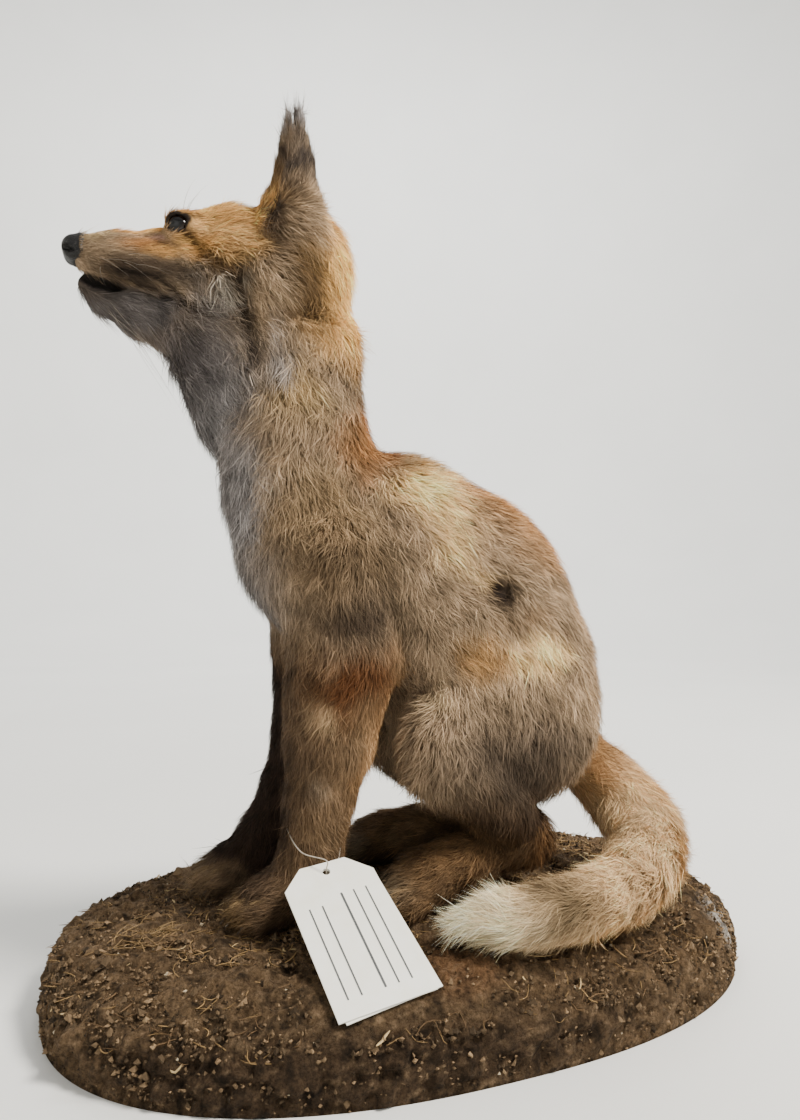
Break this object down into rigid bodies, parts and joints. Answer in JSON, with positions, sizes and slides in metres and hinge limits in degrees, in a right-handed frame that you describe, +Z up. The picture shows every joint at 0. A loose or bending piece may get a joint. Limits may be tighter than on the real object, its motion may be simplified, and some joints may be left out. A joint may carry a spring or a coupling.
{
  "type": "mounted fox",
  "caption": "Life-size museum mount of a young red fox, sitting with its head raised, on an oval earth-covered base, with a hang tag on one foreleg.",
  "frame": {"origin": "centre of the flat underside of the base", "axes": "+Z up, the fox faces -Y, its left side is +X, and the base's long axis lies close to Y"},
  "size_m": [0.246, 0.3632, 0.436],
  "materials": {
    "coat": "fur, red-brown to grey-brown with a pale throat and tail tip",
    "nose_leather": "black, finely pebbled, slightly moist",
    "glass_eye": "dark brown-black glass, polished",
    "earth": "brown peat and coir crumbs glued over a solid core",
    "tag_card": "ivory card, smooth and matte, with a few plain ruled lines",
    "tag_thread": "thin pale twisted thread"
  },
  "bodies": {
    "root": {"head": "coat", "jaw": "coat", "nose": "nose_leather", "eye_left": "glass_eye", "eye_right": "glass_eye", "ear_left": "coat", "ear_right": "coat", "neck": "coat", "trunk": "coat", "foreleg_left": "coat", "foreleg_right": "coat", "forepaw_left": "coat", "forepaw_right": "coat", "thigh_left": "coat", "thigh_right": "coat", "hindfoot_left": "coat", "hindfoot_right": "coat", "tail_root": "coat", "tail_middle": "coat", "tail_tip": "coat", "base": "earth", "tag_front": "tag_card", "tag_back": "tag_card", "tag_thread": "tag_thread"}
  },
  "joints": []
}
